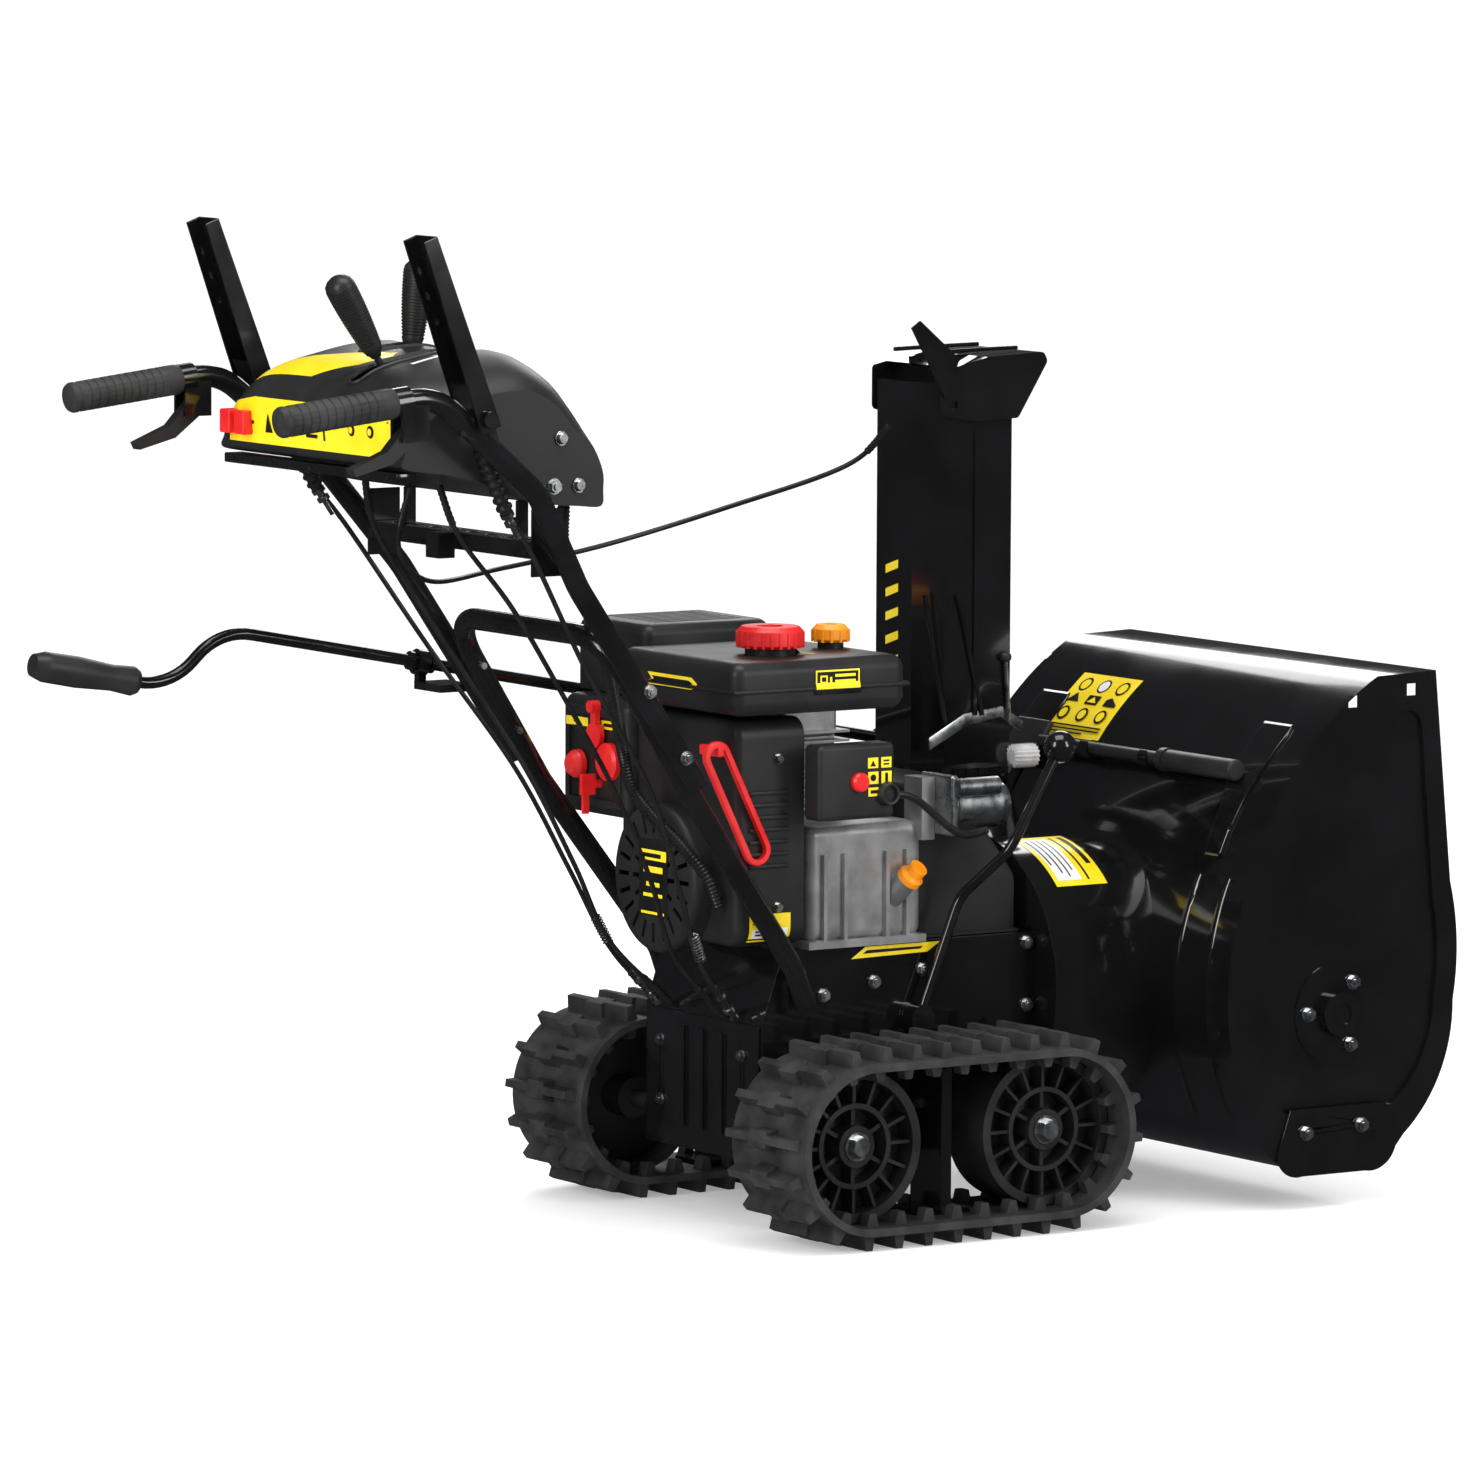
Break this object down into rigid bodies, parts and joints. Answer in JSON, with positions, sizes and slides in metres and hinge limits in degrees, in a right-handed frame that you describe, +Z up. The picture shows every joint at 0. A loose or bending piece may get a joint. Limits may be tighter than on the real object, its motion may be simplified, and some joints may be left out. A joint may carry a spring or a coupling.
{
  "type": "two stage snowblower",
  "caption": "Walk-behind tracked snow blower: auger housing, impeller, turning chute with hood, petrol engine, rubber tracks and handlebars with control levers.",
  "frame": {"origin": "on the ground, centred under the machine's overall box", "axes": "+X to the operator's right, +Y forward towards the auger, +Z up"},
  "size_m": [0.6364, 1.5874, 1.1558],
  "materials": {
    "gloss_black_paint": "gloss black enamel",
    "black_tube_paint": "semi gloss black powder coat",
    "black_plastic": "fine textured moulded plastic",
    "track_rubber": "matt moulded rubber",
    "wheel_plastic": "satin moulded plastic",
    "grip_rubber": "soft matt rubber",
    "zinc_steel": "zinc plated",
    "cast_alloy": "sand cast, unpainted",
    "gear_iron": "painted cast iron",
    "red_plastic": "glossy moulded plastic",
    "orange_plastic": "glossy moulded plastic",
    "cable_black": "smooth vinyl sheath",
    "lamp_lens": "clear lens in a black frame"
  },
  "bodies": {
    "root": {"fasteners": "zinc_steel", "chassis_case": "gloss_black_paint", "rear_cover": "gloss_black_paint", "transmission": "cast_alloy", "auger_housing_shell": "gloss_black_paint", "housing_side_plates": "gloss_black_paint", "skid_shoes": "gloss_black_paint", "scraper_bar": "gloss_black_paint", "impeller_drum": "gloss_black_paint", "auger_gearbox": "gear_iron", "engine_block": "cast_alloy", "engine_shroud": "black_plastic", "recoil_cover": "black_plastic", "fuel_tank": "black_plastic", "muffler_guard": "black_plastic", "engine_control_panel": "black_plastic", "starter_motor": "zinc_steel", "starter_switch_box": "black_plastic", "belt_cover": "black_plastic", "lower_handle": "black_tube_paint", "handlebars": "black_tube_paint", "handle_grips": "grip_rubber", "console": "black_plastic", "console_tray": "black_tube_paint", "headlight": "lamp_lens", "control_cables": "cable_black", "wiring_harness": "cable_black"},
    "track_frame": {"left_track_belt": "track_rubber", "right_track_belt": "track_rubber", "track_beams": "gloss_black_paint"},
    "left_sprocket": {"left_sprocket": "wheel_plastic"},
    "right_sprocket": {"right_sprocket": "wheel_plastic"},
    "left_idler": {"left_idler": "wheel_plastic"},
    "right_idler": {"right_idler": "wheel_plastic"},
    "auger": {"auger": "gloss_black_paint"},
    "impeller": {"impeller": "gloss_black_paint"},
    "crankshaft": {"crankshaft": "gear_iron"},
    "chute": {"chute": "gloss_black_paint"},
    "chute_hood": {"chute_hood": "gloss_black_paint"},
    "chute_crank": {"chute_crank": "black_tube_paint", "chute_crank_grip": "black_plastic"},
    "auger_clutch_lever": {"auger_clutch_lever": "gloss_black_paint"},
    "drive_clutch_lever": {"drive_clutch_lever": "gloss_black_paint"},
    "left_trigger": {"left_steering_trigger": "black_plastic"},
    "right_trigger": {"right_steering_trigger": "black_plastic"},
    "speed_lever": {"speed_lever": "black_plastic"},
    "deflector_lever": {"deflector_lever": "black_plastic"},
    "height_lever": {"height_lever": "black_tube_paint"},
    "fuel_cap": {"fuel_cap": "red_plastic"},
    "oil_cap": {"oil_cap": "orange_plastic"},
    "dipstick": {"dipstick": "orange_plastic"},
    "primer_bulb": {"primer_bulb": "red_plastic"},
    "choke_knob": {"choke_knob": "red_plastic"},
    "throttle_lever": {"throttle_lever": "red_plastic"},
    "ignition_key": {"ignition_key": "red_plastic"},
    "recoil_handle": {"recoil_handle": "red_plastic"},
    "starter_button": {"starter_button": "red_plastic"},
    "light_switch": {"light_switch": "red_plastic"},
    "grip_heat_switch": {"grip_heat_switch": "red_plastic"},
    "clean_out_tool": {"clean_out_tool": "black_plastic"}
  },
  "joints": [
    {"name": "track_tilt", "type": "hinge", "parent": "root", "child": "track_frame", "pos_m": [0, -0.02948, 0.115], "axis": [1, 0, 0], "range_deg": [-5, 4.5]},
    {"name": "height_lever_swing", "type": "hinge", "parent": "root", "child": "height_lever", "pos_m": [0.128, 0.14352, 0.235], "axis": [1, 0, 0], "range_deg": [-13.5, 15]},
    {"name": "left_sprocket_spin", "type": "hinge", "parent": "root", "child": "left_sprocket", "pos_m": [-0.235, -0.02948, 0.115], "axis": [1, 0, 0], "continuous": true},
    {"name": "right_sprocket_spin", "type": "hinge", "parent": "root", "child": "right_sprocket", "pos_m": [0.235, -0.02948, 0.115], "axis": [1, 0, 0], "continuous": true},
    {"name": "left_idler_spin", "type": "hinge", "parent": "track_frame", "child": "left_idler", "pos_m": [-0.235, 0.23152, 0.115], "axis": [1, 0, 0], "continuous": true},
    {"name": "right_idler_spin", "type": "hinge", "parent": "track_frame", "child": "right_idler", "pos_m": [0.235, 0.23152, 0.115], "axis": [1, 0, 0], "continuous": true},
    {"name": "impeller_spin", "type": "hinge", "parent": "root", "child": "impeller", "pos_m": [0, 0.37052, 0.258], "axis": [0, 1, 0], "continuous": true},
    {"name": "auger_spin", "type": "hinge", "parent": "root", "child": "auger", "pos_m": [0, 0.62152, 0.226], "axis": [1, 0, 0], "continuous": true},
    {"name": "crankshaft_spin", "type": "hinge", "parent": "root", "child": "crankshaft", "pos_m": [0, -0.02948, 0.4], "axis": [0, 1, 0], "continuous": true},
    {"name": "chute_turn", "type": "hinge", "parent": "root", "child": "chute", "pos_m": [-0.125, 0.36052, 0.488], "axis": [0, 0, 1], "range_deg": [-95, 95]},
    {"name": "hood_tilt", "type": "hinge", "parent": "chute", "child": "chute_hood", "pos_m": [-0.125, 0.31852, 0.924], "axis": [1, 0, 0], "range_deg": [0, 45]},
    {"name": "crank_turn", "type": "hinge", "parent": "root", "child": "chute_crank", "pos_m": [-0.2276, 0.36052, 0.512], "axis": [-0.0368, -0.9819, 0.1855], "range_deg": [-1150, 1150]},
    {"name": "auger_clutch_squeeze", "type": "hinge", "parent": "root", "child": "auger_clutch_lever", "pos_m": [-0.236, -0.51548, 0.954], "axis": [1, 0, 0], "range_deg": [0, 44], "stiffness_Nm_per_rad": 3, "springref_deg": -14.32},
    {"name": "drive_clutch_squeeze", "type": "hinge", "parent": "root", "child": "drive_clutch_lever", "pos_m": [0.236, -0.51548, 0.954], "axis": [1, 0, 0], "range_deg": [0, 44], "stiffness_Nm_per_rad": 3, "springref_deg": -14.32},
    {"name": "left_trigger_squeeze", "type": "hinge", "parent": "root", "child": "left_trigger", "pos_m": [-0.236, -0.60248, 0.944], "axis": [1, 0, 0], "range_deg": [-16, 0], "stiffness_Nm_per_rad": 1.5, "springref_deg": 17.19},
    {"name": "right_trigger_squeeze", "type": "hinge", "parent": "root", "child": "right_trigger", "pos_m": [0.236, -0.60248, 0.944], "axis": [1, 0, 0], "range_deg": [-16, 0], "stiffness_Nm_per_rad": 1.5, "springref_deg": 17.19},
    {"name": "speed_lever_shift", "type": "hinge", "parent": "root", "child": "speed_lever", "pos_m": [0.06, -0.49148, 0.935], "axis": [1, 0, 0], "range_deg": [-40, 6]},
    {"name": "deflector_lever_shift", "type": "hinge", "parent": "root", "child": "deflector_lever", "pos_m": [-0.04, -0.43948, 0.935], "axis": [1, 0, 0], "range_deg": [0, 30]},
    {"name": "fuel_cap_turn", "type": "hinge", "parent": "root", "child": "fuel_cap", "pos_m": [0.09, -0.03248, 0.668], "axis": [0, 0, 1], "range_deg": [0, 90]},
    {"name": "oil_cap_turn", "type": "hinge", "parent": "root", "child": "oil_cap", "pos_m": [0.06, 0.07052, 0.667], "axis": [0, 0, 1], "range_deg": [0, 90]},
    {"name": "dipstick_pull", "type": "slide", "parent": "root", "child": "dipstick", "axis": [0.6882, 0.2294, 0.6882], "range_m": [0, 0.05]},
    {"name": "primer_press", "type": "slide", "parent": "root", "child": "primer_bulb", "axis": [0, 1, 0], "range_m": [0, 0.003], "stiffness_N_per_m": 600},
    {"name": "choke_turn", "type": "hinge", "parent": "root", "child": "choke_knob", "pos_m": [-0.102, -0.12148, 0.524], "axis": [0, 1, 0], "range_deg": [0, 90]},
    {"name": "throttle_turn", "type": "hinge", "parent": "root", "child": "throttle_lever", "pos_m": [-0.13, -0.12148, 0.552], "axis": [0, 1, 0], "range_deg": [-35, 35]},
    {"name": "ignition_key_pull", "type": "slide", "parent": "root", "child": "ignition_key", "axis": [0, -1, 0], "range_m": [0, 0.012]},
    {"name": "recoil_pull", "type": "slide", "parent": "root", "child": "recoil_handle", "axis": [0, -1, 0], "range_m": [0, 0.45], "stiffness_N_per_m": 20, "springref_m": -0.1},
    {"name": "starter_button_press", "type": "slide", "parent": "root", "child": "starter_button", "axis": [-1, 0, 0], "range_m": [0, 0.004], "stiffness_N_per_m": 500},
    {"name": "light_switch_rock", "type": "hinge", "parent": "root", "child": "light_switch", "pos_m": [-0.168, -0.58748, 0.93], "axis": [1, 0, 0], "range_deg": [-7, 7]},
    {"name": "grip_heat_switch_rock", "type": "hinge", "parent": "root", "child": "grip_heat_switch", "pos_m": [-0.136, -0.58748, 0.93], "axis": [1, 0, 0], "range_deg": [-7, 7]},
    {"name": "clean_out_tool_lift", "type": "slide", "parent": "root", "child": "clean_out_tool", "axis": [0, 0, 1], "range_m": [0, 0.12]}
  ],
  "couplings": [
    {"joint": "height_lever_swing", "follows": "track_tilt", "ratio": -3},
    {"joint": "left_idler_spin", "follows": "left_sprocket_spin", "ratio": 1},
    {"joint": "right_idler_spin", "follows": "right_sprocket_spin", "ratio": 1},
    {"joint": "auger_spin", "follows": "impeller_spin", "ratio": -0.1},
    {"joint": "crank_turn", "follows": "chute_turn", "ratio": 12},
    {"joint": "deflector_lever_shift", "follows": "hood_tilt", "ratio": 0.6666}
  ]
}
